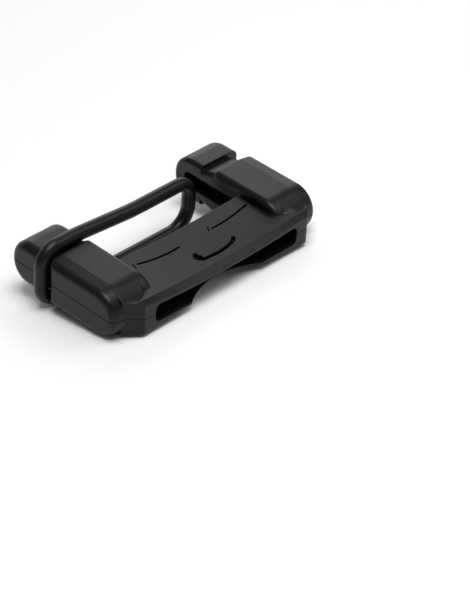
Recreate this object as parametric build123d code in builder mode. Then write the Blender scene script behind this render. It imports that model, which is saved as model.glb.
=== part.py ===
from build123d import *
from math import radians, tan
import os

# Webbing clip with an elastic keeper ring, in millimetres.
# X runs along the crossbar, Y from the crossbar's outer face to the tips of the arms,
# Z from the back of the clip to its front. The origin is the middle of the strap slot's
# mouth, on the plane where the front shell meets the back shell.

# crossbar
slot_length = 51.0        # clear length of the strap slot, for 47 to 48 mm webbing
slot_drop = 3.0           # depth of the slot's floor below the parting plane
slot_corner = 1.7
mouth_mid, mouth_end = 1.35, 2.5      # height of the slot's roof at the mouth, middle and ends
inside_mid, inside_end = 2.3, 2.9     # and at the crossbar's inner edge
face_half = 29.2          # half of the crossbar's outer face
lip_depth = 1.8           # the front slopes down to the outer face over this depth
face_mid, face_end = 2.35, 4.55       # height of the outer face, middle and ends
lip_mid, lip_end = 3.35, 4.9         # height of the front at the top of that slope
back_mid, back_end = 3.2, 4.8         # depth of the back below the parting plane there
inner_mid, inner_end = 4.5, 5.1       # half of the crossbar's thickness at its inner edge
inner_edge_round = 0.4
bar_half = 33.2           # where the corner facets run into the arms
facet_slope = 45.7        # angle of the corner facets that lead to the arms
front_depth = 18.6        # depth of the front wall beside the arms
front_bow = 0.7           # how far its inner edge bows in at the middle
back_depth = 16.4         # the same for the back wall
back_bow = 2.5
seam_bevel = 0.12         # small bevel where the outsides of the two shells meet

# shoulders, where the crossbar swells up into an arm in a soft S. Each row is one
# cross-section: its place along Y, the foot of the S with its height, its top with its height
shoulders = [
    (-0.5, 28.5, 3.75, 31.8, 3.9),
    (2.0, 26.0, 4.1, 30.5, 4.6),
    (4.5, 23.5, 4.1, 27.6, 5.15),
    (7.0, 21.9, 4.15, 24.8, 6.2),
    (10.0, 21.9, 4.15, 24.8, 6.85),
]

# relief between the crossbar's front wall and each arm, deeper towards the inner edge
relief_width = 0.7
relief_start = 6.0
relief_high, relief_low = 4.3, 3.5    # height of its floor at its start and at the inner edge

# arms
arm_inner = 22.3          # inner face of each arm
arm_outer = 36.6          # outer face of each arm, at its side pad
arm_half = 6.95           # half of an arm's thickness
pad_start = 3.1           # rounded end of the pad, beside the crossbar
pad_end = 27.9            # end of the pad, at the neck
pad_crown = 2.0           # rounding between the arm's faces and its outer side
pad_end_crown = 1.0
brow_width = 4.4          # outer part of the pad that slopes down gently
brow_slope = 8.0
inner_round = 1.5         # rounding of the arms' inner edges

# neck that seats the ring, and tip that keeps it there
ramp_start = 27.0         # the neck starts a little below the pad's faces
ramp_half = 6.4
neck_wall = 32.25         # steep wall on the tip side of the neck
neck_half = 4.9           # half of the neck's thickness at that wall
neck_outer = 34.0
neck_round = 2.2
tip_end = 42.2
tip_half = 6.2
tip_nose = 5.8            # rounding of its free end, seen from the side
tip_outer = 35.9
tip_crown = 2.3           # rounding of its outer side's rims
tip_inner_crown = 1.3

# strap pockets in the arms' inner faces, and sealed chambers behind them
pocket_half = 2.35
pocket_start = 12.0
pocket_end = 38.2
pocket_round = 1.5
chamber_inner = 27.3
chamber_outer = 32.4
chamber_start = 8.5
chamber_end = 37.6
chamber_half = 3.4

# weld pegs on the front shell, in sockets in the back shell
peg_centres = [(side * 29.85, y) for side in (-1, 1) for y in (12.5, 33.6)]
boss_radius = 2.2
peg_radius = 1.2
peg_length = 2.4
socket_gap = 0.08

# cutout in the outer edge of the back wall, which shows the strap
cutout_half = 12.2
cutout_depth = 3.7
cutout_bevel = 0.5

# ornament grooves in the front wall: two thin ones and a crescent between them
groove_width = 0.7
groove_depth = 0.8
tick_width = 0.3
crescent_width = 1.1
crescent_depth = 1.3
thin_grooves = [
    [(-18.6, 13.6), (-11.8, 12.3), (-5.6, 12.3)],
    [(6.7, 12.4), (13.5, 12.7), (20.3, 13.7)],
]
tick_grooves = [[(-19.8, 14.4), (-20.2, 12.8)], [(5.9, 13.6), (5.2, 12.1)]]
crescent = [(-4.3, 7.6), (-5.7, 6.2), (-4.4, 4.9), (2.5, 4.35), (6.9, 5.3), (8.2, 6.4)]
crescent_bends = [0.9, 1.2, 20.0, 2.5]
crescent_bulb, bulb_radius = (-4.5, 6.2), 1.05    # its wider left end

# elastic keeper ring
cord_radius = 1.95
ring_y = 30.0
ring_rise = 7.75          # height of its strands where they pass over and under the arm
ring_outer = -36.3        # centre of the cord on the arm's outer side
ring_seat_end = -25.0     # where the strands leave the arm
ring_sag = (-5.0, 6.2)    # the upper strand sags to this height on its way
ring_free_end = 15.7      # centre of the cord at the end that stands in the opening
ring_free_rise = 6.3
seat_bend = 4.4
free_upper_bend = 4.4
free_lower_bend = 6.5
gentle_bend = 60.0

clear = 60.0              # longer than anything that is cut


# crossbar, before the slot is cut, and the same form let in by each groove's depth
bar_forms = {}
for let_in in (0, groove_depth, crescent_depth):
    # cross-sections at the outer face, at the top of its slope and at the inner edge
    sections = [
        (0, face_mid - let_in, face_end - let_in, back_mid, back_end),
        (lip_depth, lip_mid - let_in, lip_end - let_in, back_mid, back_end),
        (front_depth, inner_mid - let_in, inner_end - let_in, inner_mid, inner_end),
    ]
    with BuildPart() as bar_form:
        for y, front_middle, front_end, back_middle, back_tip in sections:
            with BuildSketch(Plane.XZ.offset(-y)):
                with BuildLine():
                    ThreePointArc((-bar_half, front_end), (0, front_middle), (bar_half, front_end))
                    Line((bar_half, front_end), (bar_half, -back_tip))
                    ThreePointArc((bar_half, -back_tip), (0, -back_middle), (-bar_half, -back_tip))
                    Line((-bar_half, -back_tip), (-bar_half, front_end))
                make_face()
        loft(ruled=True)
    bar_forms[let_in] = bar_form.part

# straight outer face, corner facets and bowed inner edge, seen from the front
with BuildPart() as bar_outline:
    facet_depth = (bar_half - face_half) * tan(radians(facet_slope))
    with BuildSketch(Plane.XY.offset(-clear / 2)):
        with BuildLine():
            Polyline(
                (-bar_half, front_depth), (-bar_half, facet_depth), (-face_half, 0),
                (face_half, 0), (bar_half, facet_depth), (bar_half, front_depth),
            )
            ThreePointArc(
                (bar_half, front_depth), (0, front_depth - front_bow), (-bar_half, front_depth),
            )
        make_face()
    extrude(amount=clear)

# shoulder on one side, front and back alike
with BuildPart() as shoulder_form:
    for y, foot, low, edge, rise in shoulders:
        middle, level = (foot + edge) / 2, (low + rise) / 2
        with BuildSketch(Plane.XZ.offset(-y)):
            with BuildLine():
                TangentArc((foot, low), (middle, level), tangent=(1, 0))
                TangentArc((edge, rise), (middle, level), tangent=(-1, 0))
                Polyline((edge, rise), (bar_half, rise), (bar_half, -rise), (edge, -rise))
                TangentArc((edge, -rise), (middle, -level), tangent=(-1, 0))
                TangentArc((foot, -low), (middle, -level), tangent=(1, 0))
                Line((foot, -low), (foot, low))
            make_face()
    loft()
    add(bar_outline.part, mode=Mode.INTERSECT)

with BuildPart() as crossbar:
    add(bar_forms[0])
    add(bar_outline.part, mode=Mode.INTERSECT)
    inner_rims = faces().sort_by(Axis.Y)[-1].edges().filter_by(Axis.Z, reverse=True)
    fillet(inner_rims, inner_edge_round)
    add(shoulder_form.part)
    mirror(shoulder_form.part, about=Plane.YZ)

# arm proper: a pill in side view, whose outer part slopes down to a crowned side
near_centre = pad_start + arm_half
with BuildPart() as pad_form:
    for start, end, slope in [
        (arm_inner, arm_outer - brow_width, 0), (arm_outer - brow_width, arm_outer, brow_slope)
    ]:
        with BuildSketch(Plane.YZ.offset(start)):
            with BuildLine():
                RadiusArc((near_centre, -arm_half), (near_centre, arm_half), arm_half)
                Polyline(
                    (near_centre, arm_half), (pad_end, arm_half),
                    (pad_end, -arm_half), (near_centre, -arm_half),
                )
            make_face()
            fillet(vertices().group_by(Axis.X)[-1], pad_end_crown)
        extrude(amount=end - start, taper=slope)
    fillet(faces().sort_by(Axis.X)[-1].edges(), pad_crown)
    fillet(faces().sort_by(Axis.X)[0].edges(), inner_round)

# neck: it ramps down to a steep wall, where the ring sits
with BuildPart() as neck_form:
    with BuildSketch(Plane.YZ.offset(arm_inner)):
        with BuildLine():
            Polyline(
                (near_centre, ramp_half), (ramp_start, ramp_half), (neck_wall, neck_half),
                (tip_end - tip_nose, neck_half), (tip_end - tip_nose, -neck_half),
                (neck_wall, -neck_half), (ramp_start, -ramp_half), (near_centre, -ramp_half),
                close=True,
            )
        make_face()
    extrude(amount=neck_outer - arm_inner)
    outer_rims = faces().sort_by(Axis.X)[-1].edges().filter_by(Axis.Z, reverse=True)
    fillet(outer_rims, neck_round)
    inner_rims = faces().sort_by(Axis.X)[0].edges().filter_by(Axis.Z, reverse=True)
    fillet(inner_rims, inner_round)

# tip: a block at the free end, with a full nose
with BuildPart() as tip_form:
    with BuildSketch(Plane.YZ.offset(arm_inner)):
        with Locations(((neck_wall + tip_end) / 2, 0)):
            Rectangle(tip_end - neck_wall, 2 * tip_half)
        fillet(vertices().group_by(Axis.X)[-1], tip_nose)
    extrude(amount=tip_outer - arm_inner)
    fillet(faces().sort_by(Axis.X)[-1].edges().sort_by(Axis.Y)[1:], tip_crown)
    fillet(faces().sort_by(Axis.X)[0].edges().sort_by(Axis.Y)[1:], tip_inner_crown)

# both arms, with their pockets and chambers still solid
with BuildPart() as arms_form:
    add(pad_form.part)
    add(neck_form.part)
    add(tip_form.part)
    mirror(about=Plane.YZ)

# everything that is hollowed out of both shells alike
slot_end = slot_length / 2
with BuildPart() as strap_way:
    for y, roof_mid, roof_end in [(-1, mouth_mid, mouth_end), (front_depth + 1, inside_mid, inside_end)]:
        with BuildSketch(Plane.XZ.offset(-y)):
            with BuildLine():
                ThreePointArc((-slot_end, roof_end), (0, roof_mid), (slot_end, roof_end))
                Polyline(
                    (slot_end, roof_end), (slot_end, -slot_drop),
                    (-slot_end, -slot_drop), (-slot_end, roof_end),
                )
            make_face()
            fillet(vertices(), slot_corner)
    loft()
    with BuildSketch(Plane.XY.offset(-pocket_half)):
        with Locations((0, (pocket_start + pocket_end) / 2)):
            Rectangle(slot_length, pocket_end - pocket_start)
    extrude(amount=2 * pocket_half)
    fillet(faces().sort_by(Axis.Y)[-1].edges().filter_by(Axis.X), pocket_round)

with BuildPart() as reliefs:
    with BuildSketch(Plane.YZ.offset(arm_inner - relief_width)):
        with BuildLine():
            Polyline(
                (relief_start, relief_high), (front_depth + 1, relief_low),
                (front_depth + 1, arm_half), (relief_start, arm_half), close=True,
            )
        make_face()
    extrude(amount=relief_width)
    mirror(about=Plane.YZ)

with BuildPart() as chambers:
    with BuildSketch(Plane.XY.offset(-chamber_half)):
        for side in (-1, 1):
            with Locations((
                side * (chamber_inner + chamber_outer) / 2, (chamber_start + chamber_end) / 2
            )):
                Rectangle(chamber_outer - chamber_inner, chamber_end - chamber_start)
        with Locations(*peg_centres):
            Circle(boss_radius, mode=Mode.SUBTRACT)
    extrude(amount=2 * chamber_half)

# grooves, each cut down to the form that is let in by its depth
with BuildPart() as thin_cuts:
    with BuildSketch(Plane.XY):
        for left, middle, right in thin_grooves:
            with BuildLine(mode=Mode.PRIVATE) as centre_line:
                ThreePointArc(left, middle, right)
            SlotArc(centre_line.edges()[0], groove_width)
        for back, front in tick_grooves:
            with BuildLine(mode=Mode.PRIVATE) as centre_line:
                Line(back, front)
            SlotArc(centre_line.edges()[0], tick_width)
    extrude(amount=clear)
    add(bar_forms[groove_depth], mode=Mode.SUBTRACT)

with BuildPart() as crescent_cut:
    with BuildSketch(Plane.XY):
        with BuildLine(mode=Mode.PRIVATE) as centre_line:
            FilletPolyline(*crescent, radius=crescent_bends)
        SlotArc(centre_line.wires()[0], crescent_width)
        with Locations(crescent_bulb):
            Circle(bulb_radius)
    extrude(amount=clear)
    add(bar_forms[crescent_depth], mode=Mode.SUBTRACT)


def is_outside(edge):
    """True for an edge of the parting face on the clip's outside, not in a slot or chamber"""
    middle = edge @ 0.5
    beside_bar = abs(middle.X) > chamber_outer or middle.Y < facet_depth
    return (beside_bar and abs(middle.X) > slot_end) or middle.Y > pocket_end


# the three pieces

with BuildPart() as front_shell:
    add(crossbar.part)
    add(arms_form.part)
    add(strap_way.part, mode=Mode.SUBTRACT)
    add(chambers.part, mode=Mode.SUBTRACT)
    split(bisect_by=Plane.XY, keep=Keep.TOP)
    with BuildSketch(Plane.XY):
        with Locations(*peg_centres):
            Circle(peg_radius)
    extrude(amount=-peg_length)
    add(thin_cuts.part, mode=Mode.SUBTRACT)
    add(crescent_cut.part, mode=Mode.SUBTRACT)
    add(reliefs.part, mode=Mode.SUBTRACT)
    parting_edges = edges().filter_by_position(Axis.Z, -seam_bevel, seam_bevel)
    chamfer(parting_edges.filter_by(is_outside), seam_bevel)
front_shell.part.label = "front_shell"

with BuildPart() as back_shell:
    add(crossbar.part)
    add(arms_form.part)
    add(strap_way.part, mode=Mode.SUBTRACT)
    add(chambers.part, mode=Mode.SUBTRACT)
    split(bisect_by=Plane.XY, keep=Keep.BOTTOM)
    with BuildSketch(Plane.XY):
        with Locations(*peg_centres):
            Circle(peg_radius + socket_gap)
    extrude(amount=-(peg_length + socket_gap), mode=Mode.SUBTRACT)
    # the back wall stops short of the front wall, in a deeper bow
    with BuildSketch(Plane.XY):
        with BuildLine():
            ThreePointArc(
                (-arm_inner, back_depth), (0, back_depth - back_bow), (arm_inner, back_depth)
            )
            Polyline(
                (arm_inner, back_depth), (arm_inner, tip_end), (-arm_inner, tip_end),
                (-arm_inner, back_depth),
            )
        make_face()
    extrude(amount=-clear, mode=Mode.SUBTRACT)
    parting_edges = edges().filter_by_position(Axis.Z, -seam_bevel, seam_bevel)
    chamfer(parting_edges.filter_by(is_outside), seam_bevel)
    # cutout in its outer edge, flared where it breaks out of the back
    for start, length, flare in [
        (slot_drop / 2, clear, 0), (back_mid - cutout_bevel, 2 * cutout_bevel, -45)
    ]:
        with BuildSketch(Plane.XY.offset(-start)):
            with BuildLine():
                ThreePointArc((-cutout_half, 0), (0, cutout_depth), (cutout_half, 0))
                Polyline(
                    (cutout_half, 0), (cutout_half, -1), (-cutout_half, -1), (-cutout_half, 0)
                )
            make_face()
        extrude(amount=-length, taper=flare, mode=Mode.SUBTRACT)
back_shell.part.label = "back_shell"

with BuildPart() as elastic_ring:
    with BuildLine(Plane.XZ.offset(-ring_y)) as loop:
        FilletPolyline(
            (ring_outer, -ring_rise), (ring_outer, ring_rise), (ring_seat_end, ring_rise), ring_sag,
            (ring_free_end, ring_free_rise), (ring_free_end, -ring_rise),
            radius=[
                seat_bend, seat_bend, gentle_bend, gentle_bend, free_upper_bend, free_lower_bend,
            ],
            close=True,
        )
    with BuildSketch(Plane(loop.line @ 0, z_dir=loop.line % 0)):
        Circle(cord_radius)
    sweep()
elastic_ring.part.label = "elastic_ring"

os.makedirs("parts", exist_ok=True)
for piece in (front_shell.part, back_shell.part, elastic_ring.part):
    export_step(piece, f"parts/{piece.label}.step")
    print(piece.label, len(piece.solids()), round(piece.volume, 1), piece.is_valid)
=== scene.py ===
import math
import bmesh
import bpy
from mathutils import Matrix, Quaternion, Vector


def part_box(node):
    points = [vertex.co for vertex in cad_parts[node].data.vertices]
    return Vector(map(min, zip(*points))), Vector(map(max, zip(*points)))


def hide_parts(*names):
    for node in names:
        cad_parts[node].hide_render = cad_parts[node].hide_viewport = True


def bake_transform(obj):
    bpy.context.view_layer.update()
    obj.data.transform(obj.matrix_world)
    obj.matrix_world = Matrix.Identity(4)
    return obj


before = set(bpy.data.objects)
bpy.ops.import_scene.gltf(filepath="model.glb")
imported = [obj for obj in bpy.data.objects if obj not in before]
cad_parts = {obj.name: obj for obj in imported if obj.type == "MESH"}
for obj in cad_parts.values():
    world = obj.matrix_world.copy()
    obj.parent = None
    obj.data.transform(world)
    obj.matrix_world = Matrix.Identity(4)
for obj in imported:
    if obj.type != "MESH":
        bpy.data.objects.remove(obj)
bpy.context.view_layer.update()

# Webbing clip with its elastic keeper ring. The two shells come from the frame as they are,
# and the ring is made again here, as a moulded loop with its flash line.

mm = 0.001


class Wire:                                   # one socket of a material, ready for sums
    def __init__(self, tree, socket=None):
        self.tree, self.socket = tree, socket

    def node(self, kind, settings, sockets, outlet=0):
        made = self.tree.nodes.new(kind)
        for name, value in settings.items():
            setattr(made, name, value)
        for name, value in sockets.items():
            if isinstance(value, Wire):
                self.tree.links.new(value.socket, made.inputs[name])
            else:
                made.inputs[name].default_value = value
        return Wire(self.tree, made.outputs[outlet]) if made.outputs else made

    def maths(self, how, one, two):
        return self.node("ShaderNodeMath", {"operation": how}, {0: one, 1: two})

    def __add__(self, other):
        return self.maths("ADD", self, other)

    def __mul__(self, other):
        return self.maths("MULTIPLY", self, other)

    def __sub__(self, other):
        return self.maths("SUBTRACT", self, other)

    def __rsub__(self, other):
        return self.maths("SUBTRACT", other, self)

    __radd__, __rmul__ = __add__, __mul__

    def between(self, low, high, toLow=0.0, toHigh=1.0):          # stretches low..high to toLow..toHigh
        return self.node("ShaderNodeMapRange", {"clamp": True}, {
            "Value": self, "From Min": low, "From Max": high, "To Min": toLow, "To Max": toHigh})

    def tint(self, dark, light):                                  # colour from dark to light
        return self.node("ShaderNodeMix", {"data_type": "RGBA"}, {
            "Factor": self, 6: dark if isinstance(dark, Wire) else (*dark, 1), 7: (*light, 1)}, outlet=2)

    def bump(self, distance, normal=None):                        # relief of this height, over another one
        sockets = {"Strength": 1.0, "Distance": distance, "Height": self}
        if normal is not None:
            sockets["Normal"] = normal
        return self.node("ShaderNodeBump", {}, sockets)


def newMaterial(name):
    material = bpy.data.materials.new(name)
    material.use_nodes = True
    material.node_tree.nodes.clear()
    return material, Wire(material.node_tree)


def noise(wire, spot, size, detail=2.0, rough=0.5):               # size of one blot, in metres
    return wire.node("ShaderNodeTexNoise", {}, {
        "Vector": spot, "Scale": 1 / size, "Detail": detail, "Roughness": rough})


def finishMaterial(wire, surface):
    wire.node("ShaderNodeOutputMaterial", {}, {"Surface": surface})


# camera, with its angles in degrees
cameraSet = {
    "azimuth": -47.7, "elevation": 36.56, "roll": 3.3,
    "lens": 147.4, "place": (-370.6 * mm, -340.1 * mm, 364.6 * mm),
    "nearest": 0.01, "farthest": 20,
}


def makeCamera(want):
    around, above = math.radians(want["azimuth"]), math.radians(want["elevation"])
    back = Vector((math.sin(around) * math.cos(above), -math.cos(around) * math.cos(above), math.sin(above)))
    lens = bpy.data.cameras.new("camera")
    lens.lens = want["lens"]
    lens.clip_start, lens.clip_end = want["nearest"], want["farthest"]
    camera = bpy.data.objects.new("camera", lens)
    bpy.context.scene.collection.objects.link(camera)
    camera.rotation_mode = "QUATERNION"
    roll = Quaternion((0, 0, 1), math.radians(want["roll"]))
    camera.rotation_quaternion = (-back).to_track_quat("-Z", "Y") @ roll
    camera.location = want["place"]
    bpy.context.scene.camera = camera


makeCamera(cameraSet)
print("camera placed")

# shells: satin black moulded plastic
shellLook = {
    "deep": (0.0026, 0.0026, 0.0027), "pale": (0.0050, 0.0050, 0.0052), "rubbed": (0.014, 0.014, 0.0144),
    "roughness": (0.30, 0.43), "specular": 0.26,
    "grainSize": 0.16 * mm, "mottleSize": 1.1 * mm, "handledSize": 9 * mm,
    "grainHeight": 0.010 * mm, "mottleHeight": 0.006 * mm,
    "spread": (0.3, 0.7),                                         # part of a noise's range that counts
    "edgeRadius": 0.28 * mm, "edgeTurn": (0.01, 0.18),            # how far a normal turns at a rubbed edge
    "rubbedMottle": (0.42, 0.62), "rubbedHandled": (0.35, 0.6), "rubbedPolish": 0.08,
    # inside the strap's slot the plastic is made rough and barely reflective, which darkens the slot; each
    # pair of places runs from out to in
    "slotAcross": (25.7 * mm, 25.2 * mm),
    "slotOuter": (0.15 * mm, 0.6 * mm), "slotInner": (18.0 * mm, 17.0 * mm),
    "slotRoof": (2.6 * mm, 2.3 * mm), "slotFloor": (-3.10 * mm, -3.04 * mm),
    "slotRoughness": 0.75, "slotSpecular": 0.04,
}


def shellMaterial(want):
    material, wire = newMaterial("satinBlackPlastic")
    spot = wire.node("ShaderNodeTexCoord", {}, {}, outlet="Object")
    grain = noise(wire, spot, want["grainSize"], 2.0, 0.6)
    mottle = noise(wire, spot, want["mottleSize"], 3.0)
    handled = noise(wire, spot, want["handledSize"], 4.0, 0.6)
    # edges that hands and webbing have rubbed: where the rounded normal leaves the flat one
    soft = wire.node("ShaderNodeBevel", {"samples": 6}, {"Radius": want["edgeRadius"]})
    flat = wire.node("ShaderNodeNewGeometry", {}, {}, outlet="Normal")
    facing = wire.node(
        "ShaderNodeVectorMath", {"operation": "DOT_PRODUCT"}, {0: soft, 1: flat}, outlet="Value")
    edge = (1 - facing).between(*want["edgeTurn"])
    rubbed = edge * mottle.between(*want["rubbedMottle"]) * handled.between(*want["rubbedHandled"])
    plain = (handled * 0.6 + mottle * 0.4).between(*want["spread"]).tint(want["deep"], want["pale"])
    colour = rubbed.tint(plain, want["rubbed"])
    wear = (handled * 0.55 + grain * 0.25 + mottle * 0.2).between(*want["spread"], *want["roughness"])
    relief = grain.bump(want["grainHeight"], mottle.bump(want["mottleHeight"], soft))
    across, along, up = (
        wire.node("ShaderNodeSeparateXYZ", {}, {"Vector": spot}, outlet=count) for count in range(3))
    # mask of the strap's slot, where rough and barely reflective plastic darkens the slot
    slot = (across * across).between(*(half ** 2 for half in want["slotAcross"]))
    slot = slot * along.between(*want["slotOuter"]) * along.between(*want["slotInner"])
    slot = slot * up.between(*want["slotRoof"]) * up.between(*want["slotFloor"])
    outside = wire.node("ShaderNodeBsdfPrincipled", {}, {
        "Base Color": colour, "Roughness": wear - rubbed * want["rubbedPolish"], "Normal": relief,
        "Specular IOR Level": want["specular"]})
    inside = wire.node("ShaderNodeBsdfPrincipled", {}, {
        "Base Color": colour, "Roughness": want["slotRoughness"], "Normal": relief,
        "Specular IOR Level": want["slotSpecular"]})
    finishMaterial(wire, wire.node("ShaderNodeMixShader", {}, {0: slot, 1: outside, 2: inside}))
    return material


shellPlastic = shellMaterial(shellLook)
for name in ("front_shell", "back_shell"):
    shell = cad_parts[name]
    shell.data.materials.clear()
    shell.data.materials.append(shellPlastic)
print("shells finished")

# elastic keeper ring
ringSet = {
    "seatEnd": -25.0 * mm,                                        # where the strands leave the arm
    "sag": (-5.0 * mm, 6.2 * mm), "freeRise": 6.3 * mm,           # dip and free end of the upper strand
    "seatBend": 5.0 * mm, "gentleBend": 60 * mm, "freeUpperBend": 4.4 * mm, "freeLowerBend": 6.5 * mm,
    "around": 40, "step": 0.7 * mm, "bendDensity": 1.5, "fewestInBend": 4,
    "flashHeight": 0.03 * mm,                                     # moulding line, inside and outside the loop
    "merge": 0.02 * mm,
    "fixedTo": -24 * mm, "freeFrom": -18 * mm,                    # places along the strands, from the seat to the free part
}


def sweepRim(bm, rim, turn, centre, move, steps):                 # carries the rim on, turned or straight
    made = bmesh.ops.spin(
        bm, geom=rim, cent=centre, axis=(0, 1, 0), angle=turn, dvec=move, steps=steps,
        use_merge=False, use_duplicate=False, use_normal_flip=False)
    return [item for item in made["geom_last"] if isinstance(item, bmesh.types.BMEdge)]


def makeRing(want):
    low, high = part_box("elastic_ring")
    cord = (high.y - low.y) / 2
    level = (high.y + low.y) / 2
    left, right, top = low.x + cord, high.x - cord, high.z - cord
    corners = [
        (Vector((left, level, top)), want["seatBend"]),
        (Vector((want["seatEnd"], level, top)), want["gentleBend"]),
        (Vector((want["sag"][0], level, want["sag"][1])), want["gentleBend"]),
        (Vector((right, level, want["freeRise"])), want["freeUpperBend"]),
        (Vector((right, level, -top)), want["freeLowerBend"]),
        (Vector((left, level, -top)), want["seatBend"]),
    ]
    bm = bmesh.new()
    bmesh.ops.create_circle(bm, segments=want["around"], radius=cord - want["flashHeight"])
    for vert in bm.verts:                                         # flash line where the mould parts
        if abs(vert.co.y) < cord * 0.01:
            vert.co.x += math.copysign(want["flashHeight"], vert.co.x)
    start = Vector((left, level, 0))
    bmesh.ops.translate(bm, verts=bm.verts, vec=start)
    rim, here = list(bm.edges), start
    for count, (corner, bend) in enumerate(corners):
        ahead = (corner - here).normalized()
        leaving = (corners[(count + 1) % len(corners)][0] - corner).normalized()
        turn = ahead.angle(leaving)
        cut = bend * math.tan(turn / 2)
        run = (corner - ahead * cut - here).length
        steps = max(1, round(run / want["step"]))
        rim = sweepRim(bm, rim, 0, (0, 0, 0), ahead * (run / steps), steps)
        side = math.copysign(1, ahead.cross(leaving).y)
        inward = Quaternion((0, 1, 0), side * math.pi / 2) @ ahead
        steps = max(want["fewestInBend"], round(bend * turn / want["step"] * want["bendDensity"]))
        rim = sweepRim(bm, rim, side * turn, corner - ahead * cut + inward * bend, (0, 0, 0), steps)
        here = corner + leaving * cut
    steps = max(1, round((start - here).length / want["step"]))
    sweepRim(bm, rim, 0, (0, 0, 0), (start - here) / steps, steps)
    bmesh.ops.remove_doubles(bm, verts=bm.verts, dist=want["merge"])
    bmesh.ops.recalc_face_normals(bm, faces=bm.faces)
    for face in bm.faces:
        face.smooth = True
    mesh = bpy.data.meshes.new("elasticRing")
    bm.to_mesh(mesh)
    bm.free()
    ring = bpy.data.objects.new("elasticRing", mesh)
    bpy.context.scene.collection.objects.link(ring)
    return ring


ringLook = {
    "deep": (0.0024, 0.0024, 0.0024), "pale": (0.0048, 0.0047, 0.0046),
    "roughness": (0.30, 0.44), "specular": 0.25, "spread": (0.3, 0.7),
    "blotSize": 6 * mm, "poreSize": 0.12 * mm, "dragSize": 1.6 * mm,
    "poreHeight": 0.005 * mm, "dragHeight": 0.012 * mm,
}


def ringMaterial(want):
    material, wire = newMaterial("blackRubber")
    spot = wire.node("ShaderNodeTexCoord", {}, {}, outlet="Object")
    blot = noise(wire, spot, want["blotSize"], 4.0, 0.6)
    pores = noise(wire, spot, want["poreSize"], 1.0)
    drag = noise(wire, spot, want["dragSize"], 3.0, 0.55)
    wear = (blot * 0.6 + drag * 0.25 + pores * 0.15).between(*want["spread"], *want["roughness"])
    finishMaterial(wire, wire.node("ShaderNodeBsdfPrincipled", {}, {
        "Base Color": blot.between(*want["spread"]).tint(want["deep"], want["pale"]), "Roughness": wear,
        "Normal": pores.bump(want["poreHeight"], drag.bump(want["dragHeight"])),
        "Specular IOR Level": want["specular"]}))
    return material


ring = makeRing(ringSet)
ring.data.materials.append(ringMaterial(ringLook))
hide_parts("elastic_ring")
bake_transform(ring)
print("ring made")

# floor and light
stageSet = {
    "tilt": 7.64,                                                 # the clip leans on its ring, in degrees
    "size": 4.0, "gap": 0.03 * mm,
    "floor": (0.90, 0.90, 0.903), "roughness": 0.9, "world": (0.18, 0.18, 0.184),
}
lightSet = [
    # name, direction it stands in, distance, width, height, power
    ("overhead", (-0.12, -0.12, 0.98), 0.75, 0.45, 0.45, 4.9),
    ("backRight", (0.60, 0.64, 0.48), 0.80, 0.44, 0.44, 1.1),
    ("frontRight", (0.60, -0.34, 0.74), 0.80, 0.50, 0.45, 1.35),
    ("backdrop", (0.45, 1.0, 0.16), 1.10, 1.60, 0.30, 2.2),
]


def makeFloor(want):
    low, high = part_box("elastic_ring")
    bm = bmesh.new()
    bmesh.ops.create_grid(bm, x_segments=4, y_segments=4, size=want["size"] / 2)
    lean = Quaternion((1, 0, 0), -math.radians(want["tilt"])).to_matrix()
    bmesh.ops.rotate(bm, verts=bm.verts, cent=(0, 0, 0), matrix=lean)
    bmesh.ops.translate(bm, verts=bm.verts, vec=(0, (low.y + high.y) / 2, low.z - want["gap"]))
    mesh = bpy.data.meshes.new("floor")
    bm.to_mesh(mesh)
    bm.free()
    floor = bpy.data.objects.new("floor", mesh)
    bpy.context.scene.collection.objects.link(floor)
    material, wire = newMaterial("paleFloor")
    finishMaterial(wire, wire.node("ShaderNodeBsdfPrincipled", {}, {
        "Base Color": (*want["floor"], 1), "Roughness": want["roughness"]}))
    floor.data.materials.append(material)


def makeLight(name, direction, distance, width, height, power):
    light = bpy.data.lights.new(name, "AREA")
    light.shape, light.size, light.size_y, light.energy = "RECTANGLE", width, height, power
    lamp = bpy.data.objects.new(name, light)
    bpy.context.scene.collection.objects.link(lamp)
    away = Vector(direction).normalized()
    lamp.location = away * distance
    lamp.rotation_mode = "QUATERNION"
    lamp.rotation_quaternion = (-away).to_track_quat("-Z", "Y")


makeFloor(stageSet)
for row in lightSet:
    makeLight(*row)
world = bpy.data.worlds.new("studio")
world.use_nodes = True
world.node_tree.nodes["Background"].inputs["Color"].default_value = (*stageSet["world"], 1)
bpy.context.scene.world = world
bpy.context.scene.view_settings.view_transform = "Standard"
print("stage set")
